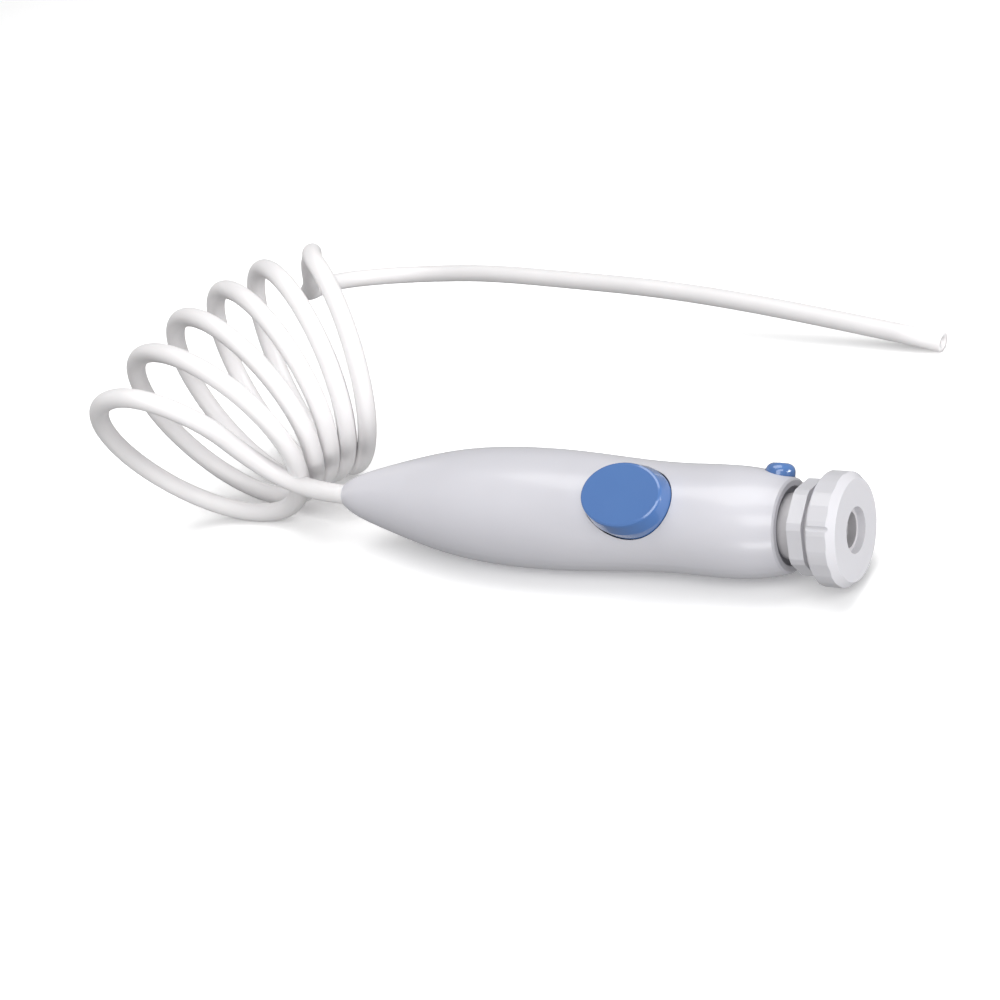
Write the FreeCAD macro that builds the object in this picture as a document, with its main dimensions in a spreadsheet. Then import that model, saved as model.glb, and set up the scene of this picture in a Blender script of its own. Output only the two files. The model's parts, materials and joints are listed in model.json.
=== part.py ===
import FreeCAD, Part
import math
import os

import Sketcher
from FreeCAD import Placement, Rotation, Vector

# Water flosser handle with its hose. Millimetres, +Z up, the floor is z = 0.
# The handle lies along X with its collar at the +X end. Each piece is built about the x axis, and
# its Placement lays it down: turned so that its z points out of its button (or square to the seam).

DIMENSIONS = {
    # how the handle lies
    "axis_height": 14.3,
    "pause_tilt": 35.3,
    "eject_tilt": -39.0,
    "seam_tilt": 20.0,
    # casing: stations along the axis and the outer radius at each
    "x_tail": -68.2, "r_tail": 3.3,
    "x_neck": -58.0, "r_neck": 7.2,
    "x_cone": -46.0, "r_cone": 10.3,
    "x_swell": -33.0, "r_swell": 12.9,
    "x_belly": -16.0, "r_belly": 14.25,
    "x_chest": 3.0, "r_chest": 13.8,
    "x_waist": 27.0, "r_waist": 12.4,
    "x_bulge": 38.0, "r_bulge": 12.5,
    "x_shoulder": 46.5, "r_shoulder": 12.1,
    "x_rim": 54.8, "r_rim": 10.3,
    "wall": 1.6,
    "rim_bevel": 0.4,
    "overcut": 0.5, "snug": 0.2,
    "x_cavity_end": 51.5, "r_cavity_end": 9.6,
    "hose_hole": 2.6, "hose_hole_mouth": 2.95, "mouth_depth": 0.8,
    "rib_x_tail": 4.0, "rib_x_nose": 33.0, "rib_x_seat": 41.5, "rib": 1.5,
    "rib_r_tail": 13.0, "rib_r_nose": 11.6, "rib_r_seat": 11.6,
    "bush_seat": 8.6, "front_recess": 8.7,
    # hose
    "hose_r": 2.5, "hose_bore": 1.3,
    "coil_turns": 5.0, "coil_r_first": 27.3, "coil_r_last": 29.4,
    # barb and clamp inside the tail
    "x_barb": -20.0, "x_hex": -8.0, "x_valve": -5.0,
    "barb_r": 1.35, "barb_ridge": 1.6, "barb_bore": 0.9, "ridge_pitch": 2.4, "ridge_step": 0.5,
    "ridge_count": 4.0, "ridge_edge": 0.1,
    "hex_r": 4.0, "thread_r": 2.2, "thread_length": 5.0,
    "clamp_r": 3.3, "x_clamp": -17.5, "clamp_length": 4.0, "clamp_ear": 4.6, "clamp_ear_width": 1.4,
    # pause valve
    "x_pause": 20.2,
    "valve_r": 4.5, "x_valve_end": 38.0, "channel_r": 1.2,
    "boss_r": 4.6, "boss_top": 6.5, "boss_foot": -9.0,
    "spring_pocket_r": 3.7, "spring_floor": 4.4,
    "stem_bore": 2.0, "stem_r": 1.95, "stem_foot": -4.5, "plug_top": -7.0, "plug_r": 2.6,
    "stem_waist_r": 1.0, "stem_waist": 1.3,
    "seal_groove_r": 1.35, "seal_groove": 0.7, "seal_low": -2.8, "seal_high": 3.2,
    "seal_ring": 1.65, "seal_section": 0.3,
    "head_foot": 9.2, "head_top": 10.0, "head_r": 3.6,
    "pause_wire": 0.6, "pause_coil_r": 2.85, "pause_coils": 4.5, "spring_slack": 0.03,
    # pause button: half axes of its oval
    "button_long": 10.75, "button_wide": 8.25, "button_top_long": 10.1, "button_top_wide": 7.5,
    "button_foot": 7.5, "button_knee": 12.3, "button_top": 16.0, "button_bevel": 0.6,
    "button_wall": 1.4, "button_roof": 1.7, "button_gap": 0.2, "plunger_r": 3.2,
    "tab_reach": 12.0, "tab_half": 2.0, "tab_foot": 8.5, "tab_top": 9.9,
    # seat of the jet tip
    "tip_r": 3.7, "seat_r": 6.0, "seat_bore": 3.75, "x_seat_floor": 40.0, "x_seat_end": 47.6,
    "x_tip_seal": 44.5, "tip_seal_groove_r": 4.9, "tip_seal_groove": 1.8,
    "tip_seal_ring": 4.1, "tip_seal_section": 0.8,
    # latch and its button
    "x_latch": 48.3, "latch": 1.4, "latch_half": 6.2, "latch_foot": -7.0, "latch_top": 7.0,
    "latch_corner_half": 4.0, "latch_corner": -4.5, "latch_neck_half": 1.6,
    "latch_hole": 4.6, "latch_hole_shift": 1.3, "latch_neck_top": 10.5,
    "x_eject": 50.9, "eject_r": 3.25, "eject_top": 13.4, "eject_round": 1.9, "eject_gap": 0.15,
    "eject_hole_foot": 8.95,
    "eject_wire": 0.4, "eject_coil_r": 1.2, "eject_coils": 3.0, "eject_spring_foot": -9.8,
    # turning socket, its bearing and the collar
    "x_bush": 52.0, "x_bush_end": 53.6, "bush_bore": 6.55, "washer": 0.5, "washer_bore": 6.65,
    "washer_r": 7.1,
    "x_sleeve": 50.4, "sleeve_r": 6.5, "x_hub": 54.2, "hub_neck_r": 7.2, "hub_r": 8.8, "x_hub_end": 63.0,
    "x_mouth": 65.5, "x_spigot_end": 67.5, "mouth_r": 3.95,
    "clip_groove_r": 6.0, "x_clip": 51.1, "clip": 0.8, "clip_r": 7.5, "clip_gap": 40.0,
    "x_ring": 57.9, "x_ring_end": 61.2, "ring_r": 10.45, "ring_flats": 8.0, "ring_flats_r": 10.75,
    "x_collar_end": 69.1, "collar_r": 12.4, "x_collar_bevel": 67.5, "collar_face_r": 11.0,
    "collar_back_bevel": 0.4, "collar_hole": 5.0, "collar_throat": 4.85, "collar_flats": 12.0,
    "collar_flats_r": 12.72,
    "notch_count": 4.0, "notch_r": 0.6, "notch_reach": 12.6, "flat_phase": 17.0,
}

CASING_STATIONS = ["tail", "neck", "cone", "swell", "belly", "chest", "waist", "bulge", "shoulder", "rim"]

# The pause button's rounded rim: how far each level lies below the top, and how far its oval is
# drawn in there, both as shares of the bevel.
BUTTON_RIM = [(1.0, 0.0), (0.3, 0.3), (0.0, 1.0)]

# The hose leaves the tail, rises into the coil, comes off the coil behind, hooks round on the
# floor and runs back along the handle. These are the corners of its two uncoiled stretches.
LEAD_ROUTE = [
    (-68.2, 0, 14.3), (-77.5, 0, 14.3), (-87.5, -2.5, 21), (-91, -7, 31.5), (-92, -12, 42.5),
    (-98, -16, 51),
]
TAIL_ROUTE = [
    (-96, 50, 57), (-106, 56.5, 49), (-115.5, 64.5, 38), (-128.5, 73.5, 29.5), (-132.5, 89, 24.5),
    (-126, 103, 18), (-111, 110, 14.5), (-88.5, 108, 15.5), (-60, 105, 14.5), (-24.5, 102, 12.5),
    (16.5, 96.4, 8.4), (55.9, 91.2, 2.5),
]

# The coil's axis is a gentle curve: the centre line on the floor, and the way its planes face.
COIL_CENTRES = [(-108.4, -8.8), (-111.0, 24.3), (-92.0, 36.2)]
COIL_FACING = [93.0, 69.5, 56.5]
COIL_LEAN = [18.0, -4.0, -11.0]

ARC_SHARE = 0.45
LARGE = 200.0
NEAR = 0.01
TINY_CUT = 0.01
TINY_VOLUME = 0.5

doc = FreeCAD.newDocument("flosser_handle")
sheet = doc.addObject("Spreadsheet::Sheet", "dims")
nodes = []


def fill_sheet():
    for row, (alias, value) in enumerate(DIMENSIONS.items(), start=1):
        sheet.set(f"A{row}", alias)
        sheet.set(f"B{row}", str(value))
        sheet.setAlias(f"B{row}", alias)
    doc.recompute()


def size(alias):
    return float(sheet.get(alias))


# ---------------------------------------------------------------- sketches and features

def new_body(name, tilt="dims.pause_tilt", x="0"):
    """A body in the handle's frame, turned about X by tilt and moved x along the axis."""
    body = doc.addObject("PartDesign::Body", name)
    body.Label = name
    body.Placement = Placement(Vector(), Rotation(Vector(1, 0, 0), 1))
    body.setExpression("Placement.Rotation.Angle", tilt)
    body.setExpression("Placement.Base.x", x)
    body.setExpression("Placement.Base.z", "dims.axis_height")
    nodes.append(body)
    return body


def new_sketch(body, name, role, offset="0", turn=None):
    """A sketch on one of the body's own planes, moved along the plane's normal."""
    plane = next(item for item in body.Origin.OriginFeatures if item.Role == role)
    sketch = body.newObject("Sketcher::SketchObject", f"{body.Name}_{name}")
    sketch.AttachmentSupport = [(plane, "")]
    sketch.MapMode = "FlatFace"
    if turn:
        axis, angle = turn
        sketch.AttachmentOffset = Placement(Vector(), Rotation(axis, 1))
        sketch.setExpression("AttachmentOffset.Rotation.Angle", angle)
    sketch.setExpression("AttachmentOffset.Base.z", offset)
    return sketch


def bind(sketch, kind, ends, name, expression):
    index = sketch.addConstraint(Sketcher.Constraint(kind, *ends, 1.0))
    sketch.renameConstraint(index, name)
    sketch.setExpression(f"Constraints.{name}", expression)


def outline(sketch, corners):
    """A closed outline of straight edges, each corner bound to the sheet."""
    count = len(corners)
    first = sketch.GeometryCount
    spots = [Vector(math.cos(math.tau * k / count), math.sin(math.tau * k / count)) for k in range(count)]
    for k in range(count):
        sketch.addGeometry(Part.LineSegment(spots[k], spots[(k + 1) % count]))
    for k in range(count):
        following = first + (k + 1) % count
        sketch.addConstraint(Sketcher.Constraint("Coincident", first + k, 2, following, 1))
    for k, (along, away) in enumerate(corners):
        bind(sketch, "DistanceX", (-1, 1, first + k, 1), f"along_{first + k}", along)
        bind(sketch, "DistanceY", (-1, 1, first + k, 1), f"away_{first + k}", away)


def circle(sketch, radius, along="0", away="0"):
    index = sketch.addGeometry(Part.Circle(Vector(), Vector(0, 0, 1), 1))
    bind(sketch, "DistanceX", (-1, 1, index, 3), f"centre_along_{index}", along)
    bind(sketch, "DistanceY", (-1, 1, index, 3), f"centre_away_{index}", away)
    bind(sketch, "Radius", (index,), f"reach_{index}", radius)


def oval(sketch, half_long, half_wide):
    """An ellipse about the sketch's origin, its long axis along the sketch's first axis."""
    ellipse = sketch.addGeometry(Part.Ellipse(Vector(), 2, 1))
    sketch.exposeInternalGeometry(ellipse)
    sketch.addConstraint(Sketcher.Constraint("Coincident", ellipse, 3, -1, 1))
    sketch.addConstraint(Sketcher.Constraint("Horizontal", ellipse + 1))
    bind(sketch, "Distance", (ellipse + 1,), "long_axis", f"2 * ({half_long})")
    bind(sketch, "Distance", (ellipse + 2,), "wide_axis", f"2 * ({half_wide})")


def revolve(body, name, corners, axis="H_Axis", groove=False):
    sketch = new_sketch(body, name, "XZ_Plane")
    outline(sketch, corners)
    doc.recompute()
    before = body.Shape.Volume if groove else 0
    kind = "PartDesign::Groove" if groove else "PartDesign::Revolution"
    feature = body.newObject(kind, f"{body.Name}_{name}_turn")
    feature.Profile = sketch
    feature.ReferenceAxis = (sketch, [axis])
    feature.Angle = 360
    doc.recompute()
    if groove and before - body.Shape.Volume < TINY_CUT:
        raise RuntimeError(f"{feature.Name} cuts nothing")
    return feature


def pad(body, sketch, length):
    doc.recompute()
    feature = body.newObject("PartDesign::Pad", f"{sketch.Name}_pad")
    feature.Profile = sketch
    feature.setExpression("Length", length)
    doc.recompute()
    return feature


def pocket(body, sketch, length, backwards=False):
    """A pocket along the sketch's normal, or against it; it has to take something away."""
    doc.recompute()
    before = body.Shape.Volume
    feature = body.newObject("PartDesign::Pocket", f"{sketch.Name}_pocket")
    feature.Profile = sketch
    feature.setExpression("Length", length)
    feature.Reversed = not backwards
    doc.recompute()
    if before - body.Shape.Volume < TINY_CUT:
        raise RuntimeError(f"{feature.Name} cuts nothing")
    return feature


def loft(body, sketches, name, cut=False, ruled=False):
    doc.recompute()
    kind = "PartDesign::SubtractiveLoft" if cut else "PartDesign::AdditiveLoft"
    feature = body.newObject(kind, f"{body.Name}_{name}")
    feature.Profile = (sketches[0], [""])
    feature.Sections = [(sketch, [""]) for sketch in sketches[1:]]
    feature.Ruled = ruled
    doc.recompute()
    return feature


def cells(*names):
    return [f"dims.{name}" for name in names]


def cut_flats(body, part, start, length):
    """Flats round a disc about the axis: all that lies outside a polygon is taken away."""
    sketch = new_sketch(body, "outside_flats", "YZ_Plane", start)
    count = int(size(f"{part}_flats"))
    corner_r = f"dims.{part}_flats_r"
    spots = [math.radians(360 / count * k + size("flat_phase")) for k in range(count)]
    outline(sketch, [
        (f"{corner_r} * {math.cos(spot):.5f}", f"{corner_r} * {math.sin(spot):.5f}") for spot in spots
    ])
    circle(sketch, f"{corner_r} + dims.overcut")
    pocket(body, sketch, length)


def ring(body, x_start, x_end, inner, outer, name="section"):
    """A plain ring about the axis."""
    return revolve(body, name, [(x_start, inner), (x_end, inner), (x_end, outer), (x_start, outer)])


# ---------------------------------------------------------------- casing

def section_sketches(body, name, stations):
    sketches = []
    for number, (station, radius) in enumerate(stations):
        sketch = new_sketch(body, f"{name}_{number}", "YZ_Plane", station)
        circle(sketch, radius)
        sketches.append(sketch)
    return sketches


def bevel_rim(body, feature):
    """A small bevel round the front rim."""
    for number, edge in enumerate(feature.Shape.Edges, start=1):
        box = edge.BoundBox
        if box.XMin > size("x_rim") - NEAR and box.XLength < NEAR and edge.Length > size("r_rim"):
            chamfer = body.newObject("PartDesign::Chamfer", f"{body.Name}_rim_bevel")
            chamfer.Base = (feature, [f"Edge{number}"])
            chamfer.setExpression("Size", "dims.rim_bevel")
            doc.recompute()
            return


def casing_half(name, keeps_front):
    """Half of the casing: outer and inner lofts, ribs, the holes along the axis, then the cut."""
    body = new_body(name, tilt="dims.seam_tilt")
    outer = [cells(f"x_{station}", f"r_{station}") for station in CASING_STATIONS]
    skin = loft(body, section_sketches(body, "outer", outer), "skin")
    bevel_rim(body, skin)
    inner = [(x, f"{r} - dims.wall") for x, r in outer[1:-1]]
    inner.append(cells("x_cavity_end", "r_cavity_end"))
    loft(body, section_sketches(body, "inner", inner), "cavity", cut=True)
    for rib in ("tail", "nose", "seat"):
        disc = new_sketch(body, f"rib_{rib}", "YZ_Plane", f"dims.rib_x_{rib}")
        circle(disc, f"dims.rib_r_{rib}")
        pad(body, disc, "dims.rib")
        hole = new_sketch(body, f"rib_hole_{rib}", "YZ_Plane", f"dims.rib_x_{rib}")
        circle(hole, "dims.seat_r" if rib == "seat" else "dims.valve_r")
        pocket(body, hole, "dims.rib")
    hose_hole = new_sketch(body, "hose_hole", "YZ_Plane", "dims.x_tail")
    circle(hose_hole, "dims.hose_hole")
    pocket(body, hose_hole, "dims.x_neck - dims.x_tail + dims.overcut")
    revolve(body, "mouth", [
        ("dims.x_tail", "0"), ("dims.x_tail", "dims.hose_hole_mouth"),
        ("dims.x_tail + dims.mouth_depth", "dims.hose_hole"), ("dims.x_tail + dims.mouth_depth", "0"),
    ], groove=True)
    seat = new_sketch(body, "bush_seat", "YZ_Plane", "dims.x_cavity_end - dims.overcut")
    circle(seat, "dims.bush_seat")
    pocket(body, seat, "dims.x_rim - dims.x_cavity_end + dims.overcut")
    recess = new_sketch(body, "front_recess", "YZ_Plane", "dims.x_bush_end")
    circle(recess, "dims.front_recess")
    pocket(body, recess, "dims.x_rim - dims.x_bush_end + dims.overcut")
    other_half = new_sketch(body, "other_half", "XY_Plane")
    outline(other_half, [(f"{a * LARGE}", f"{b * LARGE}") for a, b in ((-1, -1), (1, -1), (1, 1), (-1, 1))])
    pocket(body, other_half, f"{LARGE}", backwards=keeps_front)
    return body


def front_shell():
    """The half under the pause button, with the openings of both buttons."""
    body = casing_half("front_shell", keeps_front=True)
    across = Vector(1, 0, 0)
    opening = new_sketch(body, "pause_opening", "XY_Plane", turn=(across, "dims.pause_tilt - dims.seam_tilt"))
    opening.setExpression("AttachmentOffset.Base.x", "dims.x_pause")
    oval(opening, "dims.button_long + dims.button_gap", "dims.button_wide + dims.button_gap")
    pocket(body, opening, f"{LARGE}")
    angle = "(dims.eject_tilt - dims.seam_tilt)"
    level = f"dims.eject_hole_foot * cos{angle}"
    hole = new_sketch(body, "eject_opening", "XY_Plane", level, (across, angle))
    hole.setExpression("AttachmentOffset.Base.y", f"-dims.eject_hole_foot * sin{angle}")
    circle(hole, "dims.eject_r + dims.eject_gap", along="dims.x_eject")
    pocket(body, hole, f"{LARGE}")


def back_shell():
    casing_half("back_shell", keeps_front=False)


# ---------------------------------------------------------------- hose inlet

def inner_hose():
    """The last of the hose, held in the tail's hole and pushed over the barb."""
    body = new_body("inner_hose")
    ring(body, "dims.x_tail", "dims.x_hex - dims.snug", "dims.hose_bore", "dims.hose_r")


def hose_barb():
    """Spigot with ridges, a hexagon and a threaded end, bored through."""
    body = new_body("hose_barb")
    corners = [cells("x_barb", "barb_bore"), cells("x_barb", "barb_r")]
    for ridge in range(int(size("ridge_count"))):
        start = f"dims.x_barb + {ridge} * dims.ridge_pitch + dims.ridge_step"
        corners.append((start, "dims.barb_r"))
        crest = f"{start} + dims.ridge_pitch - 2 * dims.ridge_step"
        corners.append((crest, "dims.barb_ridge"))
        corners.append((f"{crest} + dims.ridge_edge", "dims.barb_r"))
    corners.append(cells("x_valve", "barb_r"))
    corners.append(cells("x_valve", "thread_r"))
    corners.append(("dims.x_valve + dims.thread_length", "dims.thread_r"))
    corners.append(("dims.x_valve + dims.thread_length", "dims.barb_bore"))
    revolve(body, "spigot", corners)
    hexagon = new_sketch(body, "hexagon", "YZ_Plane", "dims.x_hex")
    spots = [(math.cos(math.radians(60 * k)), math.sin(math.radians(60 * k))) for k in range(6)]
    outline(hexagon, [(f"dims.hex_r * {a:.4f}", f"dims.hex_r * {b:.4f}") for a, b in spots])
    circle(hexagon, "dims.barb_r - dims.snug")
    pad(body, hexagon, "dims.x_valve - dims.x_hex")


def hose_clamp():
    """Crimped ring with its pinched ear."""
    body = new_body("hose_clamp")
    end = "dims.x_clamp + dims.clamp_length"
    ring(body, "dims.x_clamp", end, "dims.hose_r", "dims.clamp_r")
    ear = new_sketch(body, "ear", "YZ_Plane", "dims.x_clamp")
    half = "dims.clamp_ear_width / 2"
    foot = "dims.hose_r + dims.snug"
    outline(ear, [(f"-{half}", foot), (half, foot), (half, "dims.clamp_ear"), (f"-{half}", "dims.clamp_ear")])
    pad(body, ear, "dims.clamp_length")


# ---------------------------------------------------------------- pause valve and button

def valve_body():
    """The water channel along the handle, crossed by the pause valve's boss."""
    body = new_body("valve_body")
    ring(body, "dims.x_valve", "dims.x_valve_end", "dims.channel_r", "dims.valve_r")
    boss = new_sketch(body, "boss", "XY_Plane", "dims.boss_foot")
    circle(boss, "dims.boss_r", along="dims.x_pause")
    pad(body, boss, "dims.boss_top - dims.boss_foot")
    for name, radius, foot, top in (
        ("spring_pocket", "spring_pocket_r", "spring_floor", "boss_top"),
        ("stem_bore", "stem_bore", "plug_top", "spring_floor"),
        ("plug_seat", "plug_r", "boss_foot", "plug_top"),
    ):
        hole = new_sketch(body, name, "XY_Plane", f"dims.{foot}")
        circle(hole, f"dims.{radius}", along="dims.x_pause")
        pocket(body, hole, f"dims.{top} - dims.{foot}")
    for name, radius, start, end in (
        ("channel", "dims.channel_r", "dims.x_valve", "dims.x_valve_end"),
        ("thread", "dims.thread_r", "dims.x_valve", "dims.x_valve + dims.thread_length"),
    ):
        hole = new_sketch(body, name, "YZ_Plane", start)
        circle(hole, radius)
        pocket(body, hole, f"{end} - {start}")


def valve_plug():
    body = new_body("valve_plug", x="dims.x_pause")
    disc = new_sketch(body, "disc", "XY_Plane", "dims.boss_foot")
    circle(disc, "dims.plug_r")
    pad(body, disc, "dims.plug_top - dims.boss_foot")


def valve_stem():
    """Plunger with a waist that lets the water by, two seal grooves and a spring head."""
    body = new_body("valve_stem", x="dims.x_pause")
    corners = [("0", "dims.stem_foot"), cells("stem_r", "stem_foot")]
    for seal in ("seal_low", "waist", "seal_high"):
        if seal == "waist":
            corners.append(("dims.stem_r", "-dims.stem_waist"))
            corners.append(("dims.stem_waist_r", "-dims.stem_waist"))
            corners.append(("dims.stem_waist_r", "dims.stem_waist"))
            corners.append(("dims.stem_r", "dims.stem_waist"))
            continue
        low = f"dims.{seal} - dims.seal_groove / 2"
        high = f"dims.{seal} + dims.seal_groove / 2"
        corners.append(("dims.stem_r", low))
        corners.append(("dims.seal_groove_r", low))
        corners.append(("dims.seal_groove_r", high))
        corners.append(("dims.stem_r", high))
    corners.append(cells("stem_r", "head_foot"))
    corners.append(cells("head_r", "head_foot"))
    corners.append(cells("head_r", "head_top"))
    corners.append(("0", "dims.head_top"))
    revolve(body, "plunger", corners, axis="V_Axis")


def torus_node(name, centre_x, centre_z, ring_r, section_r, upright):
    """One seal ring as a torus, its axis along the handle or along the pause button."""
    torus = doc.addObject("Part::Torus", f"{name}_ring")
    torus.setExpression("Radius1", f"dims.{ring_r}")
    torus.setExpression("Radius2", f"dims.{section_r}")
    lay = Rotation(Vector(1, 0, 0), size("pause_tilt"))
    stand = Rotation() if upright else Rotation(Vector(0, 1, 0), 90)
    torus.Placement = Placement(
        Vector(0, 0, size("axis_height")) + lay.multVec(Vector(centre_x, 0, centre_z)),
        lay.multiply(stand),
    )
    return torus


def stem_o_rings():
    """Two rings in the stem's grooves, one above and one below its waist."""
    rings = doc.addObject("Part::Compound", "stem_o_rings")
    rings.Label = "stem_o_rings"
    rings.Links = [
        torus_node(f"stem_{seal}", size("x_pause"), size(seal), "seal_ring", "seal_section", True)
        for seal in ("seal_low", "seal_high")
    ]
    nodes.append(rings)


def tip_seal():
    """The ring that seals round the jet tip's end."""
    torus = torus_node("tip_seal", size("x_tip_seal"), 0, "tip_seal_ring", "tip_seal_section", False)
    torus.Label = "tip_seal"
    nodes.append(torus)


def wire_spring(name, tilt, x, foot, top, coil_r, wire, coils):
    """A helical spring about the body's z axis."""
    body = new_body(name, tilt=tilt, x=x)
    sketch = new_sketch(body, "wire", "XZ_Plane")
    circle(sketch, f"{wire} / 2", along=coil_r, away=f"{foot} + {wire} / 2 + dims.spring_slack")
    doc.recompute()
    helix = body.newObject("PartDesign::AdditiveHelix", f"{name}_helix")
    helix.Profile = sketch
    helix.ReferenceAxis = (sketch, ["V_Axis"])
    helix.Mode = "pitch-height-angle"
    height = f"({top} - {foot} - {wire} - 2 * dims.spring_slack)"
    helix.setExpression("Pitch", f"{height} / {coils}")
    helix.setExpression("Height", height)
    doc.recompute()


def pause_button():
    """Hollow oval cap with a flat top that flares to its base, a plunger inside, two end tabs."""
    body = new_body("pause_button", x="dims.x_pause")
    foot = new_sketch(body, "foot", "XY_Plane", "dims.button_foot")
    oval(foot, *cells("button_long", "button_wide"))
    pad(body, foot, "dims.button_knee - dims.button_foot")
    knee = new_sketch(body, "knee", "XY_Plane", "dims.button_knee")
    oval(knee, *cells("button_long", "button_wide"))
    sections = [knee]
    for number, (drop, inset) in enumerate(BUTTON_RIM):
        level = f"dims.button_top - {drop} * dims.button_bevel"
        sketch = new_sketch(body, f"rim_{number}", "XY_Plane", level)
        oval(sketch, *(f"dims.button_top_{way} - {inset} * dims.button_bevel" for way in ("long", "wide")))
        sections.append(sketch)
    loft(body, sections, "crown", ruled=True)
    tabs = new_sketch(body, "tabs", "XY_Plane", "dims.tab_foot")
    reach, half = cells("tab_reach", "tab_half")
    outline(tabs, [(f"-{reach}", f"-{half}"), (reach, f"-{half}"), (reach, half), (f"-{reach}", half)])
    pad(body, tabs, "dims.tab_top - dims.tab_foot")
    hollow = new_sketch(body, "hollow", "XY_Plane", "dims.button_foot")
    oval(hollow, "dims.button_long - dims.button_wall", "dims.button_wide - dims.button_wall")
    pocket(body, hollow, "dims.button_top - dims.button_foot - dims.button_roof")
    plunger = new_sketch(body, "plunger", "XY_Plane", "dims.head_top")
    circle(plunger, "dims.plunger_r")
    pad(body, plunger, "dims.button_top - dims.head_top - dims.button_wall")


# ---------------------------------------------------------------- tip seat, latch, eject button

def outlet_seat():
    """The cup that takes the jet tip's end, with the groove of its seal."""
    body = new_body("outlet_seat")
    groove = "dims.tip_seal_groove / 2"
    revolve(body, "cup", [
        cells("x_valve_end", "channel_r"), cells("x_valve_end", "seat_r"), cells("x_seat_end", "seat_r"),
        cells("x_seat_end", "seat_bore"),
        (f"dims.x_tip_seal + {groove}", "dims.seat_bore"),
        (f"dims.x_tip_seal + {groove}", "dims.tip_seal_groove_r"),
        (f"dims.x_tip_seal - {groove}", "dims.tip_seal_groove_r"),
        (f"dims.x_tip_seal - {groove}", "dims.seat_bore"),
        cells("x_seat_floor", "seat_bore"), cells("x_seat_floor", "channel_r"),
    ])


def tip_latch():
    """A plate that slides across the socket: its hole's lower edge sits in the tip's groove."""
    body = new_body("tip_latch", tilt="dims.eject_tilt")
    plate = new_sketch(body, "plate", "YZ_Plane", "dims.x_latch")
    right = [
        cells("latch_corner_half", "latch_foot"), cells("latch_half", "latch_corner"),
        cells("latch_half", "latch_top"), cells("latch_neck_half", "latch_top"),
        cells("latch_neck_half", "latch_neck_top"),
    ]
    left = [(f"-{across}", height) for across, height in reversed(right)]
    outline(plate, right + left)
    circle(plate, "dims.latch_hole", away="dims.latch_hole_shift")
    pad(body, plate, "dims.latch")


def eject_button():
    """Round domed button that stands on the latch's neck."""
    body = new_body("eject_button", tilt="dims.eject_tilt", x="dims.x_eject")
    disc = new_sketch(body, "disc", "XY_Plane", "dims.latch_neck_top")
    circle(disc, "dims.eject_r")
    button = pad(body, disc, "dims.eject_top - dims.latch_neck_top")
    rim = next(
        number for number, edge in enumerate(button.Shape.Edges, start=1)
        if edge.BoundBox.ZMin > size("eject_top") - NEAR
    )
    dome = body.newObject("PartDesign::Fillet", "eject_button_dome")
    dome.Base = (button, [f"Edge{rim}"])
    dome.setExpression("Radius", "dims.eject_round")
    doc.recompute()


# ---------------------------------------------------------------- turning socket and collar

def front_bush():
    body = new_body("front_bush")
    ring(body, "dims.x_bush", "dims.x_bush_end", "dims.bush_bore", "dims.bush_seat")


def thrust_washer():
    body = new_body("thrust_washer")
    end = "dims.x_bush_end + dims.washer"
    ring(body, "dims.x_bush_end", end, "dims.washer_bore", "dims.washer_r")


def tip_socket():
    """Sleeve in the bush, hub outside it, and the bore that takes the jet tip."""
    body = new_body("tip_socket")
    clip_end = "dims.x_clip + dims.clip"
    revolve(body, "socket", [
        cells("x_sleeve", "tip_r"), cells("x_sleeve", "sleeve_r"),
        cells("x_clip", "sleeve_r"), cells("x_clip", "clip_groove_r"),
        (clip_end, "dims.clip_groove_r"), (clip_end, "dims.sleeve_r"),
        cells("x_hub", "sleeve_r"), cells("x_hub", "hub_neck_r"),
        cells("x_ring", "hub_neck_r"), cells("x_ring", "hub_r"),
        cells("x_hub_end", "hub_r"), cells("x_hub_end", "sleeve_r"),
        cells("x_spigot_end", "sleeve_r"), cells("x_spigot_end", "mouth_r"),
        cells("x_mouth", "mouth_r"), cells("x_mouth", "tip_r"),
    ])


def retaining_clip():
    """Open ring in the sleeve's groove, which keeps the socket in its bush."""
    body = new_body("retaining_clip")
    ring(body, "dims.x_clip", "dims.x_clip + dims.clip", "dims.clip_groove_r", "dims.clip_r")
    gap = new_sketch(body, "gap", "YZ_Plane", "dims.x_clip")
    reach = "(dims.clip_r + dims.overcut)"
    outline(gap, [
        ("0", "0"),
        (f"-{reach} * tan(dims.clip_gap / 2 * 1 deg)", f"-{reach}"),
        (f"{reach} * tan(dims.clip_gap / 2 * 1 deg)", f"-{reach}"),
    ])
    pocket(body, gap, "dims.clip")


def neck_ring():
    """Ring with soft flats, pressed on the hub behind the collar."""
    body = new_body("neck_ring")
    ring(body, "dims.x_ring", "dims.x_ring_end", "dims.hub_r", "dims.ring_r")
    cut_flats(body, "ring", "dims.x_ring", "dims.x_ring_end - dims.x_ring")


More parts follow.
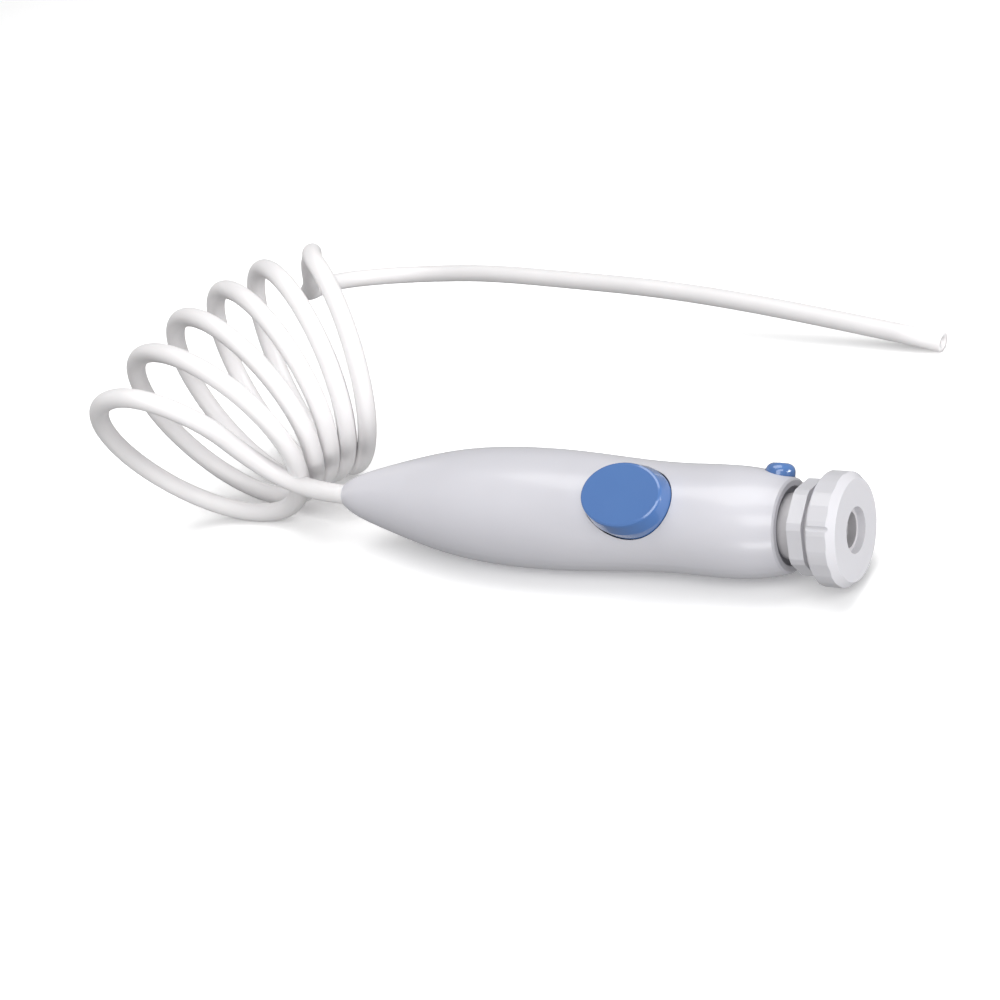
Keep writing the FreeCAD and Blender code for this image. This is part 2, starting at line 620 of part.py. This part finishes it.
def rotator_collar():
    """The fingertip dial: a bevelled disc with flats and a few notches round its side."""
    body = new_body("rotator_collar")
    rear = "dims.x_hub_end"
    bevel = "dims.collar_back_bevel"
    revolve(body, "disc", [
        (rear, "dims.sleeve_r"), (rear, f"dims.collar_r - {bevel}"),
        (f"{rear} + {bevel}", "dims.collar_r"), cells("x_collar_bevel", "collar_r"),
        cells("x_collar_end", "collar_face_r"), cells("x_collar_end", "collar_hole"),
        cells("x_spigot_end", "collar_throat"), cells("x_spigot_end", "sleeve_r"),
    ])
    cut_flats(body, "collar", rear, "dims.x_collar_end - dims.x_hub_end")
    notch = new_sketch(body, "notch", "YZ_Plane", rear)
    phase = math.radians(size("flat_phase"))
    circle(
        notch, "dims.notch_r",
        along=f"dims.notch_reach * {math.cos(phase):.5f}",
        away=f"dims.notch_reach * {math.sin(phase):.5f}",
    )
    cut = pocket(body, notch, "dims.x_collar_end - dims.x_hub_end")
    notches = body.newObject("PartDesign::PolarPattern", "rotator_collar_notches")
    notches.Originals = [cut]
    notches.Axis = (notch, ["N_Axis"])
    notches.Angle = 360
    notches.Occurrences = int(size("notch_count"))
    body.Tip = notches
    doc.recompute()


# ---------------------------------------------------------------- hose outside the handle

def rounded_path(route, name):
    """Straight runs joined by tangent arcs, each as large as its two runs allow."""
    points = [Vector(*point) for point in route]
    edges = []
    start = points[0]
    radii = []
    for before, corner, after in zip(points, points[1:], points[2:]):
        incoming = (corner - before).normalize()
        outgoing = (after - corner).normalize()
        turn = incoming.getAngle(outgoing)
        shorter = min((corner - before).Length, (after - corner).Length)
        cut_back = ARC_SHARE * shorter
        radius = cut_back / math.tan(turn / 2)
        radii.append(round(radius, 1))
        arc_start = corner - incoming * cut_back
        arc_end = corner + outgoing * cut_back
        inward = (outgoing - incoming).normalize()
        centre = corner + inward * math.hypot(radius, cut_back)
        middle = centre - inward * radius
        edges.append(Part.LineSegment(start, arc_start).toShape())
        edges.append(Part.Arc(arc_start, middle, arc_end).toShape())
        start = arc_end
    edges.append(Part.LineSegment(start, points[-1]).toShape())
    path = Part.Wire(edges)
    print(f"{name}: length {path.Length:.1f}, bend radii {radii}")
    return path


def swept(path, radius, direction):
    ring_edge = Part.Circle(path.Vertexes[0].Point, direction, radius).toShape()
    return path.makePipeShell([Part.Wire(ring_edge)], True, True)


def hose_run(name, route):
    """A stretch of open hose: the outer tube less its bore."""
    path = rounded_path(route, name)
    direction = Vector(*route[1]) - Vector(*route[0])
    tube = swept(path, size("hose_r"), direction).cut(swept(path, size("hose_bore"), direction))
    expected = math.pi * (size("hose_r") ** 2 - size("hose_bore") ** 2) * path.Length
    print(f"{name}: volume {tube.Volume:.1f}, section times length {expected:.1f}")
    node = doc.addObject("Part::Feature", name)
    node.Label = name
    node.Shape = tube
    nodes.append(node)


def between(values, share):
    """A point of the gentle curve that three values shape."""
    first, middle, last = values
    return (1 - share) ** 2 * first + 2 * share * (1 - share) * middle + share ** 2 * last


def coil_ring(turn, push):
    """Centre, axis and outer radius of the coil after so many turns, moved push along the floor."""
    share = turn / size("coil_turns")
    facing = math.radians(between(COIL_FACING, share))
    lean = math.radians(between(COIL_LEAN, share))
    radius = size("coil_r_first") + share * (size("coil_r_last") - size("coil_r_first")) + size("hose_r")
    x = between([point[0] for point in COIL_CENTRES], share) + push * math.cos(facing)
    y = between([point[1] for point in COIL_CENTRES], share) + push * math.sin(facing)
    centre = Vector(x, y, radius * math.cos(lean))
    axis = Vector(math.cos(facing) * math.cos(lean), math.sin(facing) * math.cos(lean), math.sin(lean))
    return centre, axis, radius


def hose_coil():
    """One closed solid of the outer shape of the coil's five turns."""
    last = int(size("coil_turns"))
    wires = []
    for turn in range(last + 1):
        push = {0: -size("hose_r"), last: size("hose_r")}.get(turn, 0)
        centre, axis, radius = coil_ring(turn, push)
        wires.append(Part.Wire(Part.Circle(centre, axis, radius).toShape()))
    node = doc.addObject("Part::Feature", "hose_coil")
    node.Label = "hose_coil"
    node.Shape = Part.makeLoft(wires, True, True)
    nodes.append(node)


# ---------------------------------------------------------------- build, check and write

def check_document():
    for item in doc.Objects:
        if "Invalid" in item.State or "Error" in item.State:
            raise RuntimeError(f"{item.Name} is {item.State}")
    for node in nodes:
        if node.Shape.isNull() or not node.Shape.isValid():
            raise RuntimeError(f"{node.Label} has no valid shape")
        if node.Shape.Volume < TINY_VOLUME:
            raise RuntimeError(f"{node.Label} has almost no volume")


def write_nodes():
    os.makedirs("parts", exist_ok=True)
    for node in nodes:
        node.Shape.exportStep(f"parts/{node.Label}.step")
        box = node.Shape.optimalBoundingBox(False)
        print(
            f"{node.Label:16s} volume {node.Shape.Volume:9.1f}"
            f"  x {box.XMin:7.1f} {box.XMax:7.1f}  y {box.YMin:7.1f} {box.YMax:7.1f}"
            f"  z {box.ZMin:6.2f} {box.ZMax:6.2f}"
        )


fill_sheet()
front_shell()
back_shell()
inner_hose()
hose_barb()
hose_clamp()
valve_body()
valve_plug()
valve_stem()
stem_o_rings()
wire_spring(
    "pause_spring", "dims.pause_tilt", "dims.x_pause", "dims.spring_floor", "dims.head_foot",
    "dims.pause_coil_r", "dims.pause_wire", "dims.pause_coils",
)
pause_button()
outlet_seat()
tip_seal()
tip_latch()
eject_button()
wire_spring(
    "eject_spring", "dims.eject_tilt", "dims.x_latch + dims.latch / 2", "dims.eject_spring_foot",
    "dims.latch_foot", "dims.eject_coil_r", "dims.eject_wire", "dims.eject_coils",
)
front_bush()
thrust_washer()
tip_socket()
retaining_clip()
neck_ring()
rotator_collar()
hose_run("hose_lead", LEAD_ROUTE)
hose_coil()
hose_run("hose_tail", TAIL_ROUTE)
doc.recompute()
check_document()
write_nodes()
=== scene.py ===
import json
import math

import bpy
import bmesh
from mathutils import Matrix, Vector


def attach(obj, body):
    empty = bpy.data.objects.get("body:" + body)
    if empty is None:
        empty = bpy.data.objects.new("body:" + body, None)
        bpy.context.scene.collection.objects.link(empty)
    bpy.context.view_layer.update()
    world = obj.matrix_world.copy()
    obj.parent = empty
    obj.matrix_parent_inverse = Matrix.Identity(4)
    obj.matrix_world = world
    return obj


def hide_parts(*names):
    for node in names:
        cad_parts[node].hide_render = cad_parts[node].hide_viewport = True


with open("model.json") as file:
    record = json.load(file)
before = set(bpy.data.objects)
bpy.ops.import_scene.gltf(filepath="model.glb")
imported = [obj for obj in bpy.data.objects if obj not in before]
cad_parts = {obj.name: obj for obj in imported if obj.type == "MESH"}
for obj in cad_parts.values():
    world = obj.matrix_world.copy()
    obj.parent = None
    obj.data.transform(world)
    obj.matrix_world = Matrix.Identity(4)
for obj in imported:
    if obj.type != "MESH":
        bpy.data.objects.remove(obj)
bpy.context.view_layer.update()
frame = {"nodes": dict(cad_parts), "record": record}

# ---------------------------------------------------------------- the studio's light and camera

SKY_ABOVE = 0.40
SKY_BELOW = 0.25
SKY_FADE = (-0.6, -0.1)
FLOOR_WHITE = 1.25
OVERHEAD_POWER = 8.0
FRONT_POWER = 4.6
LOW_POWER = 4.2
SIDE_POWER = 10.5

CAMERA_PLACE = (0.2144, -0.2675, 0.2331)
CAMERA_RIGHT = (0.8237, 0.4797, -0.3022)
CAMERA_BACK = (0.5642, -0.641, 0.5204)
CAMERA_LENS = 63.0

# ---------------------------------------------------------------- the hose's facts, in metres

HOSE_RADIUS = 0.0025
HOSE_BORE = 0.0013
HOSE_SIDES = 24
LINE_STEPS = 6
LEAD_ROUTE = [
    (-0.0682, 0, 0.0143), (-0.0775, 0, 0.0143), (-0.0875, -0.0025, 0.021), (-0.091, -0.007, 0.0315),
    (-0.092, -0.012, 0.0425), (-0.098, -0.016, 0.051),
]
TAIL_ROUTE = [
    (-0.096, 0.05, 0.057), (-0.106, 0.0565, 0.049), (-0.1155, 0.0645, 0.038), (-0.1285, 0.0735, 0.0295),
    (-0.1325, 0.089, 0.0245), (-0.126, 0.103, 0.018), (-0.111, 0.11, 0.0145), (-0.0885, 0.108, 0.0155),
    (-0.06, 0.105, 0.0145), (-0.0245, 0.102, 0.0125), (0.0165, 0.0964, 0.0084), (0.0559, 0.0912, 0.0025),
]
COIL_TURNS = 5
POINTS_PER_TURN = 16
COIL_CENTRES = [(-0.1084, -0.0088), (-0.111, 0.0243), (-0.092, 0.0362)]
COIL_FACING = [93.0, 69.5, 56.5]
COIL_LEAN = [18.0, -4.0, -11.0]
COIL_RADII = (0.0273, 0.0294)


def between(values, share):
    """A point of the gentle curve that three values shape."""
    first, middle, last = values
    return (1 - share) ** 2 * first + 2 * share * (1 - share) * middle + share ** 2 * last


def coil_point(turn):
    """A control point of the coil, so many turns from the top of its first loop."""
    share = turn / COIL_TURNS
    facing = math.radians(between(COIL_FACING, share))
    lean = math.radians(between(COIL_LEAN, share))
    radius = COIL_RADII[0] + share * (COIL_RADII[1] - COIL_RADII[0])
    x = between([spot[0] for spot in COIL_CENTRES], share)
    y = between([spot[1] for spot in COIL_CENTRES], share)
    centre = Vector((x, y, radius * math.cos(lean) + HOSE_RADIUS))
    axis = Vector((math.cos(facing) * math.cos(lean), math.sin(facing) * math.cos(lean), math.sin(lean)))
    away = Vector((-math.sin(facing), math.cos(facing), 0))
    up = axis.cross(away)
    reach = radius / math.cos(math.pi / POINTS_PER_TURN)
    angle = math.tau * turn
    return centre + reach * (math.cos(angle) * up + math.sin(angle) * away)


def hose_control_points():
    coil = [coil_point(step / POINTS_PER_TURN) for step in range(COIL_TURNS * POINTS_PER_TURN + 1)]
    return [Vector(point) for point in LEAD_ROUTE] + coil + [Vector(point) for point in TAIL_ROUTE]


def smooth_line(points, resolution):
    """The points that a NURBS spline over these control points passes through."""
    data = bpy.data.curves.new("hose_line", "CURVE")
    data.dimensions = "3D"
    spline = data.splines.new("NURBS")
    spline.points.add(len(points) - 1)
    for item, point in zip(spline.points, points):
        item.co = (*point, 1)
    spline.order_u = 3
    spline.use_endpoint_u = True
    spline.resolution_u = resolution
    holder = bpy.data.objects.new("hose_line", data)
    bpy.context.scene.collection.objects.link(holder)
    bpy.context.view_layer.update()
    line = bpy.data.meshes.new_from_object(holder)
    found = [vertex.co.copy() for vertex in line.vertices]
    bpy.data.objects.remove(holder)
    return found


# ---------------------------------------------------------------- materials

FINE_GRAIN = 0.00002

def new_material(name, colour, roughness):
    material = bpy.data.materials.new(name)
    material.use_nodes = True
    shader = material.node_tree.nodes["Principled BSDF"]
    shader.inputs["Base Color"].default_value = (*colour, 1)
    shader.inputs["Roughness"].default_value = roughness
    return material, material.node_tree, shader


def noise(tree, scale, detail=2.0):
    place = tree.nodes.new("ShaderNodeTexCoord")
    texture = tree.nodes.new("ShaderNodeTexNoise")
    texture.inputs["Scale"].default_value = scale
    texture.inputs["Detail"].default_value = detail
    tree.links.new(place.outputs["Object"], texture.inputs["Vector"])
    return texture


def vary_colour(tree, shader, scale, dark, light):
    """The base colour drifts between two tones over the surface."""
    ramp = tree.nodes.new("ShaderNodeValToRGB")
    ramp.color_ramp.elements[0].position = 0.35
    ramp.color_ramp.elements[0].color = (*dark, 1)
    ramp.color_ramp.elements[1].position = 0.65
    ramp.color_ramp.elements[1].color = (*light, 1)
    tree.links.new(noise(tree, scale).outputs["Fac"], ramp.inputs["Fac"])
    tree.links.new(ramp.outputs["Color"], shader.inputs["Base Color"])


def vary_roughness(tree, shader, scale, low, high):
    spread = tree.nodes.new("ShaderNodeMapRange")
    spread.inputs["To Min"].default_value = low
    spread.inputs["To Max"].default_value = high
    tree.links.new(noise(tree, scale, 4.0).outputs["Fac"], spread.inputs["Value"])
    tree.links.new(spread.outputs["Result"], shader.inputs["Roughness"])


def add_bump(tree, shader, scale, strength, distance):
    bump = tree.nodes.new("ShaderNodeBump")
    bump.inputs["Strength"].default_value = strength
    bump.inputs["Distance"].default_value = distance
    tree.links.new(noise(tree, scale, 3.0).outputs["Fac"], bump.inputs["Height"])
    tree.links.new(bump.outputs["Normal"], shader.inputs["Normal"])


def moulded_plastic(name, dark, light, rough, coat=0.0, coat_rough=0.1, skin=0.0):
    """Injection-moulded plastic: faint drift of tone, uneven polish and a very fine surface grain."""
    material, tree, shader = new_material(name, light, rough)
    vary_colour(tree, shader, 40.0, dark, light)
    vary_roughness(tree, shader, 220.0, rough - 0.05, rough + 0.05)
    add_bump(tree, shader, 1500.0, 0.12, FINE_GRAIN)
    shader.inputs["Coat Weight"].default_value = coat
    shader.inputs["Coat Roughness"].default_value = coat_rough
    shader.inputs["Subsurface Weight"].default_value = skin
    shader.inputs["Subsurface Radius"].default_value = (0.004, 0.0035, 0.003)
    shader.inputs["Subsurface Scale"].default_value = 0.6
    return material


def milky_hose():
    """Milky, slightly translucent flexible tube."""
    material, tree, shader = new_material("milky_hose", (0.85, 0.82, 0.83), 0.4)
    vary_colour(tree, shader, 60.0, (0.76, 0.745, 0.75), (0.785, 0.77, 0.775))
    vary_roughness(tree, shader, 300.0, 0.36, 0.46)
    add_bump(tree, shader, 1200.0, 0.1, FINE_GRAIN)
    shader.inputs["Subsurface Weight"].default_value = 0.25
    shader.inputs["Subsurface Radius"].default_value = (0.004, 0.0036, 0.0034)
    shader.inputs["Subsurface Scale"].default_value = 0.15
    return material


def steel():
    material, tree, shader = new_material("spring_steel", (0.6, 0.6, 0.61), 0.3)
    shader.inputs["Metallic"].default_value = 1.0
    vary_roughness(tree, shader, 500.0, 0.25, 0.4)
    return material


def seal_rubber():
    material, tree, shader = new_material("seal_rubber", (0.03, 0.03, 0.032), 0.6)
    vary_roughness(tree, shader, 400.0, 0.55, 0.7)
    add_bump(tree, shader, 2000.0, 0.2, FINE_GRAIN)
    return material


def make_materials():
    casing = ((0.585, 0.58, 0.62), (0.605, 0.60, 0.64))
    button = ((0.062, 0.155, 0.395), (0.067, 0.165, 0.41))
    collar = ((0.575, 0.57, 0.60), (0.595, 0.59, 0.62))
    # the socket's colour is darker than the collar's: painted shade inside the tip hole, not the part's own
    # tone
    socket = ((0.47, 0.46, 0.475), (0.50, 0.49, 0.505))
    valve = ((0.6, 0.61, 0.63), (0.64, 0.65, 0.67))
    bearing = ((0.30, 0.295, 0.325), (0.33, 0.325, 0.355))
    return {
        "casing": moulded_plastic("casing_plastic", *casing, 0.3, coat=0.25, coat_rough=0.12, skin=0.1),
        "button": moulded_plastic("button_plastic", *button, 0.2, coat=1.0, coat_rough=0.05),
        "collar": moulded_plastic("collar_plastic", *collar, 0.32, coat=0.2, coat_rough=0.15, skin=0.1),
        "hose": milky_hose(),
        "valve": moulded_plastic("valve_plastic", *valve, 0.5),
        "bearing": moulded_plastic("bearing_plastic", *bearing, 0.45),
        "socket": moulded_plastic("socket_plastic_painted_shade", *socket, 0.4),
        "seal": seal_rubber(),
        "steel": steel(),
    }


def dress(piece, material):
    piece.data.materials.clear()
    piece.data.materials.append(material)


def dress_cad_nodes(materials):
    """Each CAD node takes its slot's finish, but the tip socket takes a darker colour than the collar, which
    is painted shade for the deep interior of the tip hole.
    """
    for row in frame["record"]["subparts"]:
        name = row["node"]
        # the tip socket gets the darker colour, painted shade for the inside of the tip hole
        finish = "socket" if name == "tip_socket" else row["material_slot"]
        dress(frame["nodes"][name], materials[finish])


# ---------------------------------------------------------------- hose

def tube_mesh(name, line, outer, bore, sides):
    """A hollow tube along a line, its section carried along without twisting, its bore open at both ends."""
    mesh = bmesh.new()
    last = len(line) - 1
    tangents = [(line[min(k + 1, last)] - line[max(k - 1, 0)]).normalized() for k in range(last + 1)]
    side = tangents[0].orthogonal().normalized()
    walls = {outer: [], bore: []}
    for point, tangent in zip(line, tangents):
        side = (side - tangent * side.dot(tangent)).normalized()
        across = tangent.cross(side)
        for radius, rings in walls.items():
            rings.append([
                mesh.verts.new(point + radius * (math.cos(a) * side + math.sin(a) * across))
                for a in (math.tau * k / sides for k in range(sides))
            ])
    for radius, rings in walls.items():
        for here, there in zip(rings, rings[1:]):
            for k in range(sides):
                quad = (here[k], here[(k + 1) % sides], there[(k + 1) % sides], there[k])
                mesh.faces.new(quad if radius == outer else quad[::-1])
    for end, flip in ((0, False), (-1, True)):
        outside, inside = walls[outer][end], walls[bore][end]
        for k in range(sides):
            quad = (outside[(k + 1) % sides], outside[k], inside[k], inside[(k + 1) % sides])
            mesh.faces.new(quad[::-1] if flip else quad)
    data = bpy.data.meshes.new(name)
    mesh.to_mesh(data)
    mesh.free()
    piece = bpy.data.objects.new(name, data)
    bpy.context.scene.collection.objects.link(piece)
    for face in data.polygons:
        face.use_smooth = True
    return piece


def make_hose(materials):
    line = smooth_line(hose_control_points(), LINE_STEPS)
    hose = tube_mesh("hose", line, HOSE_RADIUS, HOSE_BORE, HOSE_SIDES)
    dress(hose, materials["hose"])
    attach(hose, "handle")
    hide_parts("hose_lead", "hose_coil", "hose_tail")


# ---------------------------------------------------------------- studio

def make_floor():
    """A white floor that takes the object's shadow, but doesn't light or mirror in the object."""
    bpy.ops.mesh.primitive_plane_add(size=6.0, location=(0, 0, 0))
    floor = bpy.context.object
    floor.name = "floor"
    material, tree, shader = new_material("floor_paper", (FLOOR_WHITE,) * 3, 0.9)
    shader.inputs["Specular IOR Level"].default_value = 0.1
    add_bump(tree, shader, 30.0, 0.02, 0.0005)
    dress(floor, material)
    floor.visible_diffuse = False
    floor.visible_glossy = False
    floor.visible_shadow = False


def add_panel(name, place, target, size, power):
    data = bpy.data.lights.new(name, "AREA")
    data.shape = "RECTANGLE"
    data.size, data.size_y = size
    data.energy = power
    lamp = bpy.data.objects.new(name, data)
    lamp.location = place
    lamp.rotation_mode = "QUATERNION"
    lamp.rotation_quaternion = (Vector(target) - Vector(place)).to_track_quat("-Z", "Y")
    bpy.context.scene.collection.objects.link(lamp)


def make_sky():
    """A bright sky above the horizon and a dim one below it, which the floor hides from view."""
    world = bpy.data.worlds.new("studio")
    bpy.context.scene.world = world
    world.use_nodes = True
    tree = world.node_tree
    place = tree.nodes.new("ShaderNodeTexCoord")
    split = tree.nodes.new("ShaderNodeSeparateXYZ")
    level = tree.nodes.new("ShaderNodeMapRange")
    level.interpolation_type = "SMOOTHSTEP"
    level.inputs["From Min"].default_value, level.inputs["From Max"].default_value = SKY_FADE
    level.inputs["To Min"].default_value = SKY_BELOW
    level.inputs["To Max"].default_value = SKY_ABOVE
    tree.links.new(place.outputs["Generated"], split.inputs["Vector"])
    tree.links.new(split.outputs["Z"], level.inputs["Value"])
    tree.links.new(level.outputs["Result"], tree.nodes["Background"].inputs["Strength"])
    tree.nodes["Background"].inputs["Color"].default_value = (1, 1, 1, 1)


def make_light():
    """A soft sky and four panels. The low one is under the floor, which lets its light through."""
    make_sky()
    bpy.context.scene.view_settings.view_transform = "Standard"
    add_panel("overhead", (-0.1, 0.15, 1.1), (0, 0, 0), (1.1, 0.8), OVERHEAD_POWER)
    add_panel("front_key", (0.35, -0.65, 0.8), (0, 0, 0.02), (1.1, 0.4), FRONT_POWER)
    add_panel("low_fill", (0.35, -1.0, -0.15), (0, 0, 0.02), (1.1, 0.25), LOW_POWER)
    add_panel("side_fill", (1.2, 0.05, 0.1), (0.05, 0, 0.01), (0.7, 0.3), SIDE_POWER)


def make_camera():
    right = Vector(CAMERA_RIGHT).normalized()
    back = Vector(CAMERA_BACK)
    back = (back - right * back.dot(right)).normalized()
    up = back.cross(right)
    turn = Matrix((right, up, back)).transposed().to_4x4()
    data = bpy.data.cameras.new("camera")
    data.lens = CAMERA_LENS
    data.sensor_width = 36.0
    data.clip_start = 0.01
    camera = bpy.data.objects.new("camera", data)
    camera.matrix_world = Matrix.Translation(CAMERA_PLACE) @ turn
    bpy.context.scene.collection.objects.link(camera)
    bpy.context.scene.camera = camera


materials = make_materials()
dress_cad_nodes(materials)
make_hose(materials)
make_floor()
make_light()
make_camera()
